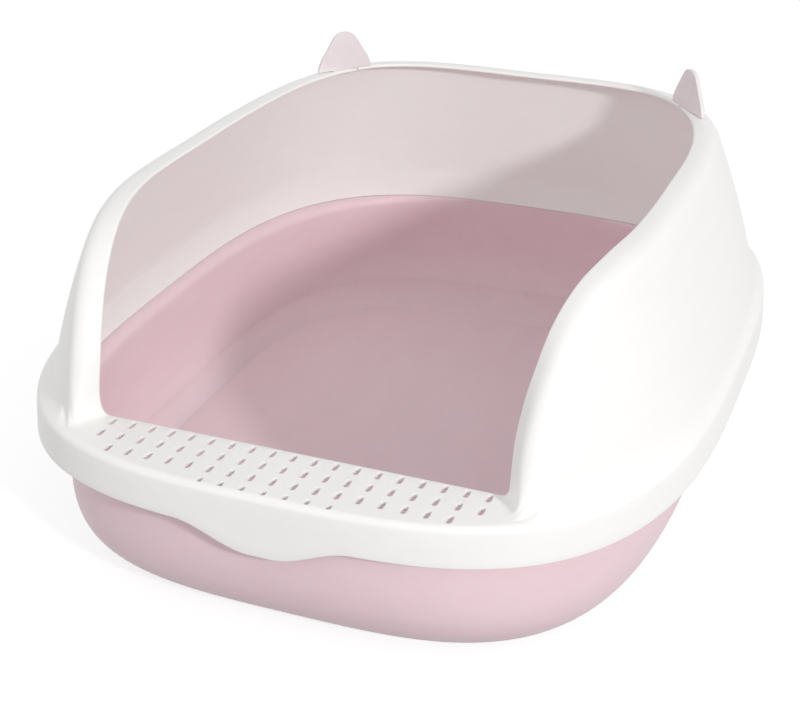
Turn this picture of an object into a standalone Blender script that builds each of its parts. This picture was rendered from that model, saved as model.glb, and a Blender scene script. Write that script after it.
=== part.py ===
"""Litter tray: a tub, a tall open-fronted hood that lifts off it, and two ears on the hood.

Metres, +Z up, the entrance towards -Y. The origin is on the floor under the middle of the tray.
Every outline seen from above is a superellipse, which power 2 makes an ellipse and more makes squarer.
"""
import math

import bmesh
import bpy
import numpy as np
from mathutils import Matrix, Vector

COLLECTION_NAME = "litter_tray"
CUTTER_COLLECTION_NAME = "litter_tray_cutters"

# Sheet that both mouldings are made of, and the gaps between pieces
SHEET = 0.0025
SEAT_GAP = 0.0003
SKIRT_PLAY = 0.0025
LIP_PLAY = 0.0008
CUT_OVERRUN = 0.002
MERGE_DISTANCE = 0.00001

# Outline of the hood's skirt at its lower edge, which is the largest outline of the tray
HOOD_HALF_WIDTH = 0.200
HOOD_HALF_LENGTH = 0.2493
OUTLINE_POWER = 3.165

# Tub: heights from the floor, and how far the roundings between wall and rim reach down
RIM_HEIGHT = 0.075
FOLD_HEIGHT = 0.0107
FOOT_ROUNDING = 0.004
RIM_LIP_HEIGHT = 0.005
MOUTH_ROUNDING = 0.007
FLANGE_ROUNDING = 0.0045

# Tub: widths in plan, each from the outline outside it
RIM_WIDTH_SIDE = 0.0115
RIM_WIDTH_END = 0.0033
FLANGE_WIDTH_SIDE = 0.006
FLANGE_WIDTH_END = 0.0025
TUB_TAPER_SIDE = 0.0182
TUB_TAPER_END = 0.0307
FOOT_ROUNDING_INSET = 0.0015
FLOOR_BEVEL_SIDE = 0.0163
FLOOR_BEVEL_END = 0.0378
TUB_TOP_POWER = 2.85
TUB_FOOT_POWER = 3.48
TUB_WALL_POWER = 4

# Hood: skirt, finger tab and shoulder
SKIRT_OVERLAP = 0.0023
SHOULDER_RISE = 0.0205
SKIRT_DRAFT = 0.0013
SHOULDER_RADIUS = 0.0040
SHOULDER_WIDTH = 0.0045
WALL_FILLET = 0.0045
TAB_DEPTH = 0.0122
TAB_HALF_WIDTH = 0.050
TAB_FLAT_HALF_WIDTH = 0.006

# Hood: wall above the shoulder
WALL_HEIGHT = 0.100
WALL_POWER = 2.92
WALL_TOP_POWER = 3.3
WALL_LEAN_SIDE = 0.038
WALL_LEAN_END = 0.025
WALL_BULGE = 0.0025

# Hood: top edge of the wall and the band that turns in from it
BAND_WIDTH = 0.0145
BAND_FOOT_WIDTH = 0.017
EDGE_RADIUS = 0.0015
COLUMN_FOOT_RISE = 0.010
RIB_FADE_RISE = 0.045

# Height of the wall's edge from the step to the back, as shares of the wall's half length and height
EDGE_SHARES = (
    (-0.8935, 0.00), (-0.8915, 0.05), (-0.888, 0.14), (-0.873, 0.35), (-0.837, 0.58), (-0.759, 0.815),
    (-0.634, 0.955), (-0.455, 1.00), (-0.226, 0.985), (0.0, 0.97), (0.27, 0.957), (0.543, 0.955),
    (0.724, 0.955), (0.84, 0.955), (1.0, 0.93),
)

# Step: its depth and its drain slots
STEP_DEPTH = 0.049
STEP_CORNER_SHARE = 0.88
SLOT_WIDTH = 0.0032
SLOT_LENGTH = 0.0075
SLOT_PITCH_ACROSS = 0.012
SLOT_PITCH_BACK = 0.0128
SLOT_EDGE_GAP = 0.0024
FRONT_SLOT_LENGTH = 0.0045
SLOTS_EACH_SIDE = (9, 9, 8, 3)

# Ears: flat plates with a tongue in a slot of the band
EAR_HALF_WIDTH = 0.021
EAR_HEIGHT = 0.0268
EAR_THICKNESS = 0.0028
EAR_EDGE_RADIUS = 0.0006
EAR_INSET = 0.0117
EAR_TURN = math.radians(40.0)
EAR_HEADING = math.radians(-51.0)
TONGUE_HALF_WIDTH = 0.010
TONGUE_LENGTH = 0.003
TONGUE_GAP = 0.0003

# Half of an ear's outline: share of its half width, and share of its height
EAR_SHARES = ((1.0, 0.0), (0.985, 0.10), (0.86, 0.32), (0.70, 0.50), (0.50, 0.75), (0.34, 0.91), (0.17, 0.985))

# How finely the curved pieces are divided
TUB_STATIONS = 37
TUB_ROW_SHARES = (0.0, 0.1, 0.24, 0.42, 0.66, 1.0)
ROUNDING_SHARES = (0.0, 0.33, 0.67, 1.0)
STEP_STATIONS = 14
WALL_STATIONS = 34
WALL_ROW_SHARES = (0.28, 0.55, 0.80)
CURVE_SAMPLES = 12

# Colours
PINK = (0.69, 0.49, 0.53, 1.0)
WHITE = (0.90, 0.89, 0.88, 1.0)
EAR_WHITE = (0.84, 0.80, 0.80, 1.0)

STEP_Z = RIM_HEIGHT + SHOULDER_RISE
SKIRT_Z = RIM_HEIGHT - SKIRT_OVERLAP
AXIS_TURN = math.pi / 2


class Outline:
    """A superellipse seen from above; turn runs from -90 degrees at the front to 90 at the back."""

    def __init__(self, half_width, half_length, power):
        self.half_width = half_width
        self.half_length = half_length
        self.power = power

    def inset(self, side, end=None):
        end = side if end is None else end
        return Outline(self.half_width - side, self.half_length - end, self.power)

    def point(self, turn, z):
        across = abs(math.cos(turn)) ** (2 / self.power)
        along = math.copysign(abs(math.sin(turn)) ** (2 / self.power), turn)
        if AXIS_TURN - abs(turn) < 1e-9:
            across = 0.0
        return Vector((self.half_width * across, self.half_length * along, z))

    def inward(self, turn):
        across = abs(math.cos(turn)) ** (2 - 2 / self.power) / self.half_width
        along = math.copysign(abs(math.sin(turn)) ** (2 - 2 / self.power), turn) / self.half_length
        if AXIS_TURN - abs(turn) < 1e-9:
            across = 0.0
        return Vector((-across, -along, 0.0)).normalized()

    def mixed(self, other, share):
        return Outline(
            self.half_width + (other.half_width - self.half_width) * share,
            self.half_length + (other.half_length - self.half_length) * share,
            self.power + (other.power - self.power) * share,
        )


SKIRT = Outline(HOOD_HALF_WIDTH, HOOD_HALF_LENGTH, OUTLINE_POWER)
SKIRT_TOP = SKIRT.inset(SKIRT_DRAFT)
WALL_BASE = Outline(SKIRT_TOP.half_width - SHOULDER_WIDTH, SKIRT_TOP.half_length - SHOULDER_WIDTH, WALL_POWER)
WALL_TOP = Outline(
    WALL_BASE.half_width - WALL_LEAN_SIDE, WALL_BASE.half_length - WALL_LEAN_END, WALL_TOP_POWER
)
RIM_EDGE = SKIRT.inset(SHEET + SKIRT_PLAY)
RIB_OUTER = RIM_EDGE.inset(SHEET + LIP_PLAY)
TUB_TOP = Outline(RIM_EDGE.half_width - RIM_WIDTH_SIDE, RIM_EDGE.half_length - RIM_WIDTH_END, TUB_TOP_POWER)
TUB_FOOT = Outline(TUB_TOP.half_width - TUB_TAPER_SIDE, TUB_TOP.half_length - TUB_TAPER_END, TUB_FOOT_POWER)


def smoothstep(value):
    value = min(max(value, 0.0), 1.0)
    return value * value * (3 - 2 * value)


def wall_outline(z):
    """Outline of the wall's outer face at a height: it leans in, and bulges a little half way up."""
    share = (z - STEP_Z) / WALL_HEIGHT
    outline = WALL_BASE.mixed(WALL_TOP, share)
    return outline.inset(-WALL_BULGE * 4 * share * (1 - share))


def tub_outline(z):
    """Outline of the tub's outer face at a height: it is steep at the rim and rounds in towards the foot."""
    rise = z / RIM_HEIGHT
    outline = TUB_FOOT.mixed(TUB_TOP, 1 - (1 - rise) ** TUB_WALL_POWER)
    outline.power = TUB_FOOT.power + (TUB_TOP.power - TUB_FOOT.power) * rise
    return outline


def smooth_line(points, samples):
    """A smooth curve through plane points, whose handles follow the neighbouring points."""
    count = len(points)
    slopes = [(points[min(i + 1, count - 1)] - points[max(i - 1, 0)]).normalized() for i in range(count)]
    line = [points[0]]
    for i in range(count - 1):
        start, end = points[i], points[i + 1]
        reach = (end - start).length / 3
        handles = (start + slopes[i] * reach, end - slopes[i + 1] * reach)
        for k in range(1, samples + 1):
            t = k / samples
            line.append(
                start * (1 - t) ** 3 + handles[0] * 3 * t * (1 - t) ** 2 + handles[1] * 3 * t * t * (1 - t) + end * t**3
            )
    return line


def evenly_spaced(pairs, place, count):
    """Picks count pairs at equal distances along the curve that place() puts the pairs on."""
    spots = np.array([place(*pair) for pair in pairs])
    reached = np.concatenate([[0.0], np.cumsum(np.linalg.norm(np.diff(spots, axis=0), axis=1))])
    wanted = np.linspace(0.0, reached[-1], count)
    columns = [np.interp(wanted, reached, column) for column in np.array(pairs).T]
    return [tuple(float(v) for v in pair) for pair in zip(*columns)]


def turn_at(share):
    """Turn at which the wall's base reaches a share of its half length."""
    return math.copysign(math.asin(abs(share) ** (WALL_POWER / 2)), share)


def edge_path():
    """Turn and height of the hood's stations, from the middle of the step to the middle of the back."""
    corner_x = WALL_BASE.point(turn_at(EDGE_SHARES[0][0]), STEP_Z).x
    step = []
    for x in np.linspace(0.0, corner_x, STEP_STATIONS, endpoint=False):
        step.append((-math.acos((x / WALL_BASE.half_width) ** (WALL_POWER / 2)), 0.0))
    reach = WALL_BASE.half_length
    shares = [Vector((turn_at(along) * reach, up * WALL_HEIGHT)) for along, up in EDGE_SHARES]
    wall = [(point.x / reach, point.y) for point in smooth_line(shares, CURVE_SAMPLES)]
    wall[-1] = (AXIS_TURN, wall[-1][1])
    return step + evenly_spaced(wall, edge_point, WALL_STATIONS)


def edge_point(turn, height):
    z = STEP_Z + height
    return wall_outline(z).point(turn, z)


def skirt_low_z(x, y):
    """Height of the skirt's lower edge, which dips in the middle of the front as a finger tab."""
    if y > 0:
        return SKIRT_Z
    dip = smoothstep((TAB_HALF_WIDTH - abs(x)) / (TAB_HALF_WIDTH - TAB_FLAT_HALF_WIDTH))
    return SKIRT_Z - TAB_DEPTH * dip


def skirt_points(turn):
    """Outer side of the skirt with its rounded top, from its lower edge up."""
    low = SKIRT.point(turn, SKIRT_Z)
    low.z = skirt_low_z(low.x, low.y)
    points = [low]
    for angle in (0.0, 40.0, 75.0):
        angle = math.radians(angle)
        outline = SKIRT_TOP.inset(SHOULDER_RADIUS * (1 - math.cos(angle)))
        points.append(outline.point(turn, STEP_Z - SHOULDER_RADIUS * (1 - math.sin(angle))))
    return points


def skirt_inner_points(turn):
    """Inner side of the skirt, from its top down to its lower edge."""
    top = SKIRT_TOP.inset(SHEET).point(turn, STEP_Z - SHEET)
    low = SKIRT.inset(SHEET).point(turn, SKIRT_Z)
    low.z = skirt_low_z(low.x, low.y)
    return [top, low]


def step_inner_point(turn, z):
    """Straight inner edge of the step, across from a point of its bowed front."""
    front = SKIRT_TOP.point(turn, z)
    return Vector((front.x * STEP_CORNER_SHARE, -SKIRT_TOP.half_length + STEP_DEPTH, z))


def step_section(turn):
    """Section through the step: a flat sheet from the skirt's top to the straight inner edge."""
    rows = len(WALL_ROW_SHARES) + 4
    spacing = (SHOULDER_RADIUS + SHEET) / rows
    front = SKIRT_TOP.inset(SHOULDER_RADIUS)
    top = [front.inset(spacing * i).point(turn, STEP_Z) for i in range(rows)]
    inner = step_inner_point(turn, STEP_Z)
    top += [top[-1].lerp(inner, 0.5), inner]
    down = Vector((0.0, 0.0, -SHEET))
    rows_below = len(WALL_ROW_SHARES) + 5
    back = SKIRT_TOP.inset(SHEET)
    below = [back.inset(spacing * i).point(turn, STEP_Z - SHEET) for i in range(rows_below, 0, -1)]
    below = [inner + down, top[-2] + down] + below
    return skirt_points(turn) + top + below + skirt_inner_points(turn)


def wall_section(turn, height, along):
    """Section through the wall: skirt, shoulder, wall, turned-in band, and the locating rib inside."""
    edge = edge_point(turn, height)
    outline = wall_outline(edge.z)
    inward = outline.inward(turn)
    under = inward.cross(along).normalized()
    width = BAND_FOOT_WIDTH + (BAND_WIDTH - BAND_FOOT_WIDTH) * min(height / WALL_HEIGHT, 1.0)

    slide = Vector((under.x, under.y, 0.0))
    fillet_z = STEP_Z + min(WALL_FILLET, height / 3)
    outer = [
        WALL_BASE.point(turn, STEP_Z + (fillet_z - STEP_Z) / 4).lerp(SKIRT_TOP.point(turn, STEP_Z), 0.3),
        wall_outline(fillet_z).point(turn, fillet_z) + slide * EDGE_RADIUS,
    ]
    top_z = edge.z + under.z * EDGE_RADIUS
    for share in WALL_ROW_SHARES:
        z = fillet_z + (top_z - fillet_z) * share
        outer.append(wall_outline(z).point(turn, z) + slide * EDGE_RADIUS)
    outer.append(edge + under * EDGE_RADIUS)
    outer.append(edge + inward * EDGE_RADIUS)
    middle = edge + inward * (width / 2)
    inner_edge = edge + inward * width
    outer += [middle, inner_edge]

    inner = [inner_edge + under * SHEET, middle + under * SHEET, edge + (inward + under) * SHEET]
    top_z = edge.z + under.z * SHEET
    base_z = STEP_Z - SHEET
    for share in reversed(WALL_ROW_SHARES):
        z = base_z + (top_z - base_z) * share
        inner.append(wall_outline(z).point(turn, z) + (inward + slide) * SHEET)
    rib_top = WALL_BASE.point(turn, base_z)
    wall_foot = rib_top + inward * SHEET
    rib_foot = [outline.point(turn, RIM_HEIGHT + SEAT_GAP) for outline in (RIB_OUTER.inset(SHEET), RIB_OUTER)]
    drop = smoothstep((height - COLUMN_FOOT_RISE) / RIB_FADE_RISE)
    inner.append(wall_foot)
    for share, foot in zip((1 / 3, 2 / 3), rib_foot):
        inner.append(wall_foot.lerp(rib_top, share).lerp(foot, drop))
    inner.append(rib_top)
    return skirt_points(turn) + outer + inner + skirt_inner_points(turn)


def hood_sections():
    path = edge_path()
    edges = [edge_point(turn, height) for turn, height in path]
    sections = []
    for i, (turn, height) in enumerate(path):
        if i == len(path) - 1:
            along = Vector((-1.0, 0.0, 0.0))
        else:
            along = (edges[i + 1] - edges[max(i - 1, 0)]).normalized()
        flat = step_section(turn) if turn < 0 and height < COLUMN_FOOT_RISE else None
        raised = wall_section(turn, height, along) if height > 0 else None
        share = smoothstep(height / COLUMN_FOOT_RISE)
        if raised is None:
            sections.append(flat)
        elif flat is None:
            sections.append(raised)
        else:
            sections.append([a.lerp(b, share) for a, b in zip(flat, raised)])
    return sections


def make_collection(name):
    collection = bpy.data.collections.new(name)
    bpy.context.scene.collection.children.link(collection)
    return collection


def make_material(name, colour, roughness):
    material = bpy.data.materials.new(name)
    material.use_nodes = True
    shader = material.node_tree.nodes["Principled BSDF"]
    shader.inputs["Base Color"].default_value = colour
    shader.inputs["Roughness"].default_value = roughness
    shader.inputs["Metallic"].default_value = 0.0
    return material


def object_from(mesh_maker, name, collection):
    mesh = bpy.data.meshes.new(name)
    maker = bmesh.new()
    mesh_maker(maker)
    maker.to_mesh(mesh)
    maker.free()
    piece = bpy.data.objects.new(name, mesh)
    collection.objects.link(piece)
    return piece


def add_mirror(piece):
    mirror = piece.modifiers.new("mirror", "MIRROR")
    mirror.merge_threshold = MERGE_DISTANCE


def add_cut(piece, cutter, name):
    cut = piece.modifiers.new(name, "BOOLEAN")
    cut.operation = "DIFFERENCE"
    cut.object = cutter


def finish(piece, material):
    piece.data.materials.append(material)
    piece.data.shade_smooth()
    piece.data.set_sharp_from_angle(angle=math.radians(35))


def loft(sections, closed):
    """Returns a maker of the right half of a loft, which is open at the middle plane."""

    def maker(mesh):
        grid = [[mesh.verts.new(point) for point in section] for section in sections]
        rows = len(sections[0])
        for near, far in zip(grid[:-1], grid[1:]):
            for i in range(rows if closed else rows - 1):
                k = (i + 1) % rows
                mesh.faces.new((near[i], far[i], far[k], near[k]))
        if not closed:
            mesh.faces.new([column[0] for column in reversed(grid)])
            mesh.faces.new([column[-1] for column in grid])

    return maker


def blended(first, last, share):
    """A ring of the tub, which is an outline and its height, part of the way between two others."""
    return first[0].mixed(last[0], share), first[1] + (last[1] - first[1]) * share


def rounded(first, corner, last):
    """Rings that round a corner of the tub's profile."""
    return [blended(blended(first, corner, share), blended(corner, last, share), share) for share in ROUNDING_SHARES]


def wall_rings(low, high, inset):
    """Rings up the tub's wall, closer together near the foot, where it curves most."""
    heights = [low + (high - low) * share for share in TUB_ROW_SHARES]
    return [(tub_outline(z).inset(inset), z) for z in heights]


def rim_rings():
    """Rings from the outer wall under the rim, round its upstanding lip and back over the mouth."""
    under_z = RIM_HEIGHT - SHEET
    lip_z = RIM_HEIGHT + RIM_LIP_HEIGHT
    wall_z = under_z - FLANGE_ROUNDING
    mouth_z = RIM_HEIGHT - MOUTH_ROUNDING
    flange = RIM_EDGE.inset(FLANGE_WIDTH_SIDE, FLANGE_WIDTH_END)
    mouth = RIB_OUTER.inset(SHEET)
    return [
        *rounded((tub_outline(wall_z), wall_z), (tub_outline(under_z), under_z), (flange, under_z))[1:],
        (RIM_EDGE, under_z),
        (RIM_EDGE, lip_z),
        (RIM_EDGE.inset(SHEET), lip_z),
        (RIM_EDGE.inset(SHEET), RIM_HEIGHT),
        *rounded((mouth, RIM_HEIGHT), (TUB_TOP.inset(SHEET), RIM_HEIGHT), (tub_outline(mouth_z).inset(SHEET), mouth_z)),
    ]


def tub_profile():
    """Outline and height of each ring of the tub, from its underside out, over the rim and in to the floor."""
    rounded_foot = TUB_FOOT.inset(FOOT_ROUNDING_INSET)
    inner_fold = tub_outline(FOLD_HEIGHT).inset(SHEET)
    floor = inner_fold.inset(FLOOR_BEVEL_SIDE, FLOOR_BEVEL_END)
    groove_z = FOLD_HEIGHT - 2 * SHEET
    return [
        (floor.inset(SHEET / 2), 0.0),
        (inner_fold.inset(FLOOR_BEVEL_SIDE / 4, FLOOR_BEVEL_END / 4), groove_z),
        (tub_outline(groove_z).inset(SHEET), groove_z),
        (rounded_foot.inset(SHEET), 0.0),
        (rounded_foot, 0.0),
        *wall_rings(FOOT_ROUNDING, RIM_HEIGHT - SHEET - FLANGE_ROUNDING, 0.0),
        *rim_rings(),
        *wall_rings(FOLD_HEIGHT, RIM_HEIGHT - MOUTH_ROUNDING, SHEET)[-2::-1],
        (floor, SHEET),
    ]


def make_tub(collection):
    turns = np.radians(np.linspace(-90.0, 90.0, 721))
    pairs = evenly_spaced([(turn, 0.0) for turn in turns], lambda turn, z: RIM_EDGE.point(turn, z), TUB_STATIONS)
    sections = [[outline.point(turn, z) for outline, z in tub_profile()] for turn, _ in pairs]
    tub = object_from(loft(sections, closed=False), "base_tub", collection)
    add_mirror(tub)
    finish(tub, make_material("pink_plastic", PINK, 0.38))


def slot_places():
    """Middle and length of each drain slot; the rows follow the step's straight inner edge."""
    inner_y = -SKIRT_TOP.half_length + STEP_DEPTH
    first_y = inner_y - SLOT_EDGE_GAP - SLOT_LENGTH / 2
    for row, each_side in enumerate(SLOTS_EACH_SIDE):
        length = FRONT_SLOT_LENGTH if row == len(SLOTS_EACH_SIDE) - 1 else SLOT_LENGTH
        y = first_y - SLOT_PITCH_BACK * row + (SLOT_LENGTH - length) / 2
        for column in range(-each_side, each_side + 1):
            yield column * SLOT_PITCH_ACROSS, y, length


def slot_cutter(mesh):
    """Stadium prisms: eight-sided cylinders pulled apart along the slot."""
    sides = 8
    radius = SLOT_WIDTH / 2 / math.cos(math.pi / sides)
    depth = SHEET + 2 * CUT_OVERRUN
    for x, y, length in slot_places():
        turned = Matrix.Rotation(math.pi / sides, 4, "Z")
        middle = Matrix.Translation((x, y, STEP_Z - SHEET / 2))
        made = bmesh.ops.create_cone(
            mesh, cap_ends=True, segments=sides, radius1=radius, radius2=radius, depth=depth, matrix=middle @ turned
        )
        for vert in made["verts"]:
            vert.co.y += math.copysign((length - SLOT_WIDTH) / 2, vert.co.y - y)


def ear_place(side):
    """Where an ear's foot stands on the band, and the heading of its plate."""
    z = STEP_Z + WALL_HEIGHT * EDGE_SHARES[-2][1]
    outline = wall_outline(z)
    foot = outline.point(EAR_TURN, z) + outline.inward(EAR_TURN) * EAR_INSET
    heading = EAR_HEADING if side > 0 else math.pi - EAR_HEADING
    return Matrix.Translation((side * foot.x, foot.y, z)) @ Matrix.Rotation(heading, 4, "Z")


def ear_slot_cutter(mesh):
    size = Vector((TONGUE_HALF_WIDTH + TONGUE_GAP, EAR_THICKNESS / 2 + TONGUE_GAP, SHEET + CUT_OVERRUN)) * 2
    for side in (1, -1):
        bmesh.ops.create_cube(mesh, size=1.0, matrix=ear_place(side) @ Matrix.Diagonal((*size, 1.0)))


def make_cutter(maker, name, collection):
    cutter = object_from(maker, name, collection)
    cutter.hide_render = True
    cutter.display_type = "WIRE"
    return cutter


def make_hood(collection, cutters):
    hood = object_from(loft(hood_sections(), closed=True), "hood", collection)
    add_mirror(hood)
    add_cut(hood, make_cutter(slot_cutter, "step_slots", cutters), "cut_step_slots")
    add_cut(hood, make_cutter(ear_slot_cutter, "ear_slots", cutters), "cut_ear_slots")
    finish(hood, make_material("white_plastic", WHITE, 0.35))
    return hood


def ear_outline():
    """Right half from the tongue's end up to the tip, and its mirror back down."""
    half = [(TONGUE_HALF_WIDTH, -TONGUE_LENGTH), (TONGUE_HALF_WIDTH, 0.0)]
    half += [(across * EAR_HALF_WIDTH, up * EAR_HEIGHT) for across, up in EAR_SHARES]
    return half + [(0.0, EAR_HEIGHT)] + [(-x, y) for x, y in reversed(half)]


def make_ear(name, side, collection, material, hood):
    curve = bpy.data.curves.new(name, "CURVE")
    curve.dimensions = "2D"
    curve.fill_mode = "BOTH"
    curve.extrude = EAR_THICKNESS / 2
    outline = ear_outline()
    spline = curve.splines.new("POLY")
    spline.points.add(len(outline) - 1)
    for point, (x, y) in zip(spline.points, outline):
        point.co = (x, y, 0.0, 1.0)
    spline.use_cyclic_u = True
    flat = bpy.data.objects.new(name + "_outline", curve)
    collection.objects.link(flat)
    mesh = bpy.data.meshes.new_from_object(flat.evaluated_get(bpy.context.evaluated_depsgraph_get()))
    bpy.data.objects.remove(flat)
    mesh.name = name
    welder = bmesh.new()
    welder.from_mesh(mesh)
    bmesh.ops.remove_doubles(welder, verts=welder.verts, dist=MERGE_DISTANCE)
    welder.to_mesh(mesh)
    welder.free()
    ear = bpy.data.objects.new(name, mesh)
    collection.objects.link(ear)
    upright = Matrix.Rotation(math.pi / 2, 4, "X")
    ear.parent = hood
    ear.matrix_world = Matrix.Translation((0.0, 0.0, SEAT_GAP)) @ ear_place(side) @ upright
    bevel = ear.modifiers.new("soft_edges", "BEVEL")
    bevel.width = EAR_EDGE_RADIUS
    bevel.segments = 1
    bevel.limit_method = "ANGLE"
    bevel.angle_limit = math.radians(50)
    finish(ear, material)


def main():
    for old in list(bpy.data.objects):
        bpy.data.objects.remove(old, do_unlink=True)
    collection = make_collection(COLLECTION_NAME)
    cutters = make_collection(CUTTER_COLLECTION_NAME)
    make_tub(collection)
    hood = make_hood(collection, cutters)
    ear_material = make_material("ear_plastic", EAR_WHITE, 0.4)
    make_ear("ear_right", 1, collection, ear_material, hood)
    make_ear("ear_left", -1, collection, ear_material, hood)


main()
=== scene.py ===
# %% [markdown]
# # A litter tray with a lift-off hood
#
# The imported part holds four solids: a pink tub, a white hood that stands on the tub's rim, and two
# small ears pushed into the hood. This notebook keeps those solids as a fixed frame and builds
# finer pieces over them, with the radii that a mould leaves and the finish of moulded plastic.

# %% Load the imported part
import math

import bmesh
import bpy
import numpy as np
from mathutils import Matrix, Vector


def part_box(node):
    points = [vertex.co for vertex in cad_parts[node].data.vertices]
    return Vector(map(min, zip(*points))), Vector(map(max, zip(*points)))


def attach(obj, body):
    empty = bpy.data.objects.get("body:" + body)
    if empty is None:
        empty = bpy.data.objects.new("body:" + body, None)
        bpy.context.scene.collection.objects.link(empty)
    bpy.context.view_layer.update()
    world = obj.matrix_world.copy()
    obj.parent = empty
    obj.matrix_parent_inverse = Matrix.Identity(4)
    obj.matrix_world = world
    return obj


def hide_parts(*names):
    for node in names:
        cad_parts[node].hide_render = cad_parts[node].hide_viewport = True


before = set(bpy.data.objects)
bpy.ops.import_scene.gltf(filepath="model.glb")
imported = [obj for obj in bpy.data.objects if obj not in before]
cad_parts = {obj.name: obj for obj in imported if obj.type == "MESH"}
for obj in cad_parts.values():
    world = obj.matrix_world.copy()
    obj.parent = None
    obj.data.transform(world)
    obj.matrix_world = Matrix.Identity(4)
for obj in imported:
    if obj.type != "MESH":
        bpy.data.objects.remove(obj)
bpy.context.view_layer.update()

MM = 0.001

# %% [markdown]
# ## Camera
#
# The picture looks down into the tray from in front and a little from the right. The camera could
# be placed by eye, but a place, a heading and a lens that were fitted to the tray's own corners
# keep every edge where the picture has it, so the numbers below are a fit and not a guess.

# %% Camera
IMAGE_WIDTH = 800
CAMERA_HEADING = math.radians(20.80)
CAMERA_RISE = math.radians(26.63)
CAMERA_ROLL = math.radians(0.41)
CAMERA_TARGET = Vector((31.65, -132.15, 128.76)) * MM
CAMERA_DISTANCE = 857.5 * MM
FOCAL_PIXELS = 1567
SENSOR_WIDTH = 36


def direction(heading, rise):
    """Points away from the tray: heading 0 is the front, 90 degrees the right side."""
    level = math.cos(rise)
    return Vector((math.sin(heading) * level, -math.cos(heading) * level, math.sin(rise)))


def turned_to(back, roll=0.0):
    """Axes of a camera or lamp that looks along -back, as a 4 by 4 matrix."""
    side = Vector((0, 0, 1)).cross(back).normalized()
    turn = Matrix((side, back.cross(side), back)).transposed().to_4x4()
    return turn @ Matrix.Rotation(roll, 4, "Z")


def make_camera():
    data = bpy.data.cameras.new("camera")
    data.sensor_width = SENSOR_WIDTH
    data.lens = FOCAL_PIXELS / IMAGE_WIDTH * SENSOR_WIDTH
    camera = bpy.data.objects.new("camera", data)
    back = direction(CAMERA_HEADING, CAMERA_RISE)
    place = Matrix.Translation(CAMERA_TARGET + back * CAMERA_DISTANCE)
    camera.matrix_world = place @ turned_to(back, CAMERA_ROLL)
    bpy.context.scene.collection.objects.link(camera)
    bpy.context.scene.camera = camera
    return camera


camera = make_camera()
print("lens in mm:", round(camera.data.lens, 2))

# %% [markdown]
# ## Outlines seen from above
#
# Both mouldings are rounded rectangles whose sides never go quite straight. A box with filleted
# corners would show a line where each fillet starts. A superellipse has no such line: power 2
# gives an ellipse, and more makes it squarer, so one half width, one half length and one power
# describe each height of the tray.

# %% Outlines
SHEET = 2.5 * MM
QUARTER_TURN = math.pi / 2
AT_THE_END = 1e-9


class Outline:
    """A superellipse; turn runs from -90 degrees at the front to 90 at the back."""

    def __init__(self, half_width, half_length, power):
        self.half_width, self.half_length, self.power = half_width, half_length, power

    def inset(self, side, end=None, power=None):
        """The outline that much further in, or out if negative, as square as before unless told."""
        end = side if end is None else end
        return Outline(self.half_width - side, self.half_length - end, power or self.power)

    def point(self, turn, z):
        """The place at a turn and a height."""
        across = max(math.cos(turn), 0.0) ** (2 / self.power)
        along = math.copysign(abs(math.sin(turn)) ** (2 / self.power), turn)
        if QUARTER_TURN - abs(turn) < AT_THE_END:
            across = 0.0
        return np.array((self.half_width * across, self.half_length * along, z))

    def inward(self, turn):
        """The level direction that points straight into the outline."""
        across = max(math.cos(turn), 0.0) ** (2 - 2 / self.power) / self.half_width
        along = math.copysign(abs(math.sin(turn)) ** (2 - 2 / self.power), turn) / self.half_length
        if QUARTER_TURN - abs(turn) < AT_THE_END:
            across = 0.0
        normal = np.array((-across, -along, 0.0))
        return normal / np.linalg.norm(normal)

    def mixed(self, other, share):
        """An outline that share of the way to the other one."""
        return Outline(
            self.half_width + (other.half_width - self.half_width) * share,
            self.half_length + (other.half_length - self.half_length) * share,
            self.power + (other.power - self.power) * share,
        )


SKIRT = Outline(200.0 * MM, 249.3 * MM, 3.165)
RIM_EDGE = SKIRT.inset(5.0 * MM)
TUB_TOP = RIM_EDGE.inset(11.5 * MM, 3.3 * MM, power=2.85)
TUB_FOOT = TUB_TOP.inset(18.2 * MM, 30.7 * MM, power=3.48)
hood_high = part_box("hood")[1]
print("skirt to CAD hood, mm:", round((hood_high.x - SKIRT.half_width) / MM, 3))

# %% [markdown]
# ## Writing nodes as sums
#
# Node trees are easier to read when their arithmetic looks like arithmetic. One small class wraps
# a socket, so that `1 - mask * 0.3` adds the Math nodes by itself. Every node comes from one method,
# which sets the node's options first and then its sockets, because an option can change which
# sockets there are. The same two classes serve Geometry Nodes and shaders.

# %% Node helpers
def math_node(operation, swapped=False):
    """A method of Socket that adds one Math node to its tree."""

    def added(self, other=0.0):
        first, second = (other, self) if swapped else (self, other)
        return self.nodes.add("ShaderNodeMath", {0: first, 1: second}, {"operation": operation})

    return added


class Socket:
    """An output socket that adds a Math node for each operator or function used on it."""

    def __init__(self, nodes, socket):
        self.nodes, self.socket = nodes, socket

    __add__, __radd__ = math_node("ADD"), math_node("ADD", swapped=True)
    __sub__, __rsub__ = math_node("SUBTRACT"), math_node("SUBTRACT", swapped=True)
    __mul__, __rmul__ = math_node("MULTIPLY"), math_node("MULTIPLY", swapped=True)
    __truediv__, __rtruediv__ = math_node("DIVIDE"), math_node("DIVIDE", swapped=True)
    __pow__, __mod__, __abs__ = math_node("POWER"), math_node("MODULO"), math_node("ABSOLUTE")
    __lt__, __gt__ = math_node("LESS_THAN"), math_node("GREATER_THAN")
    sine, cosine, sign = math_node("SINE"), math_node("COSINE"), math_node("SIGN")
    maximum = math_node("MAXIMUM")


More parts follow.
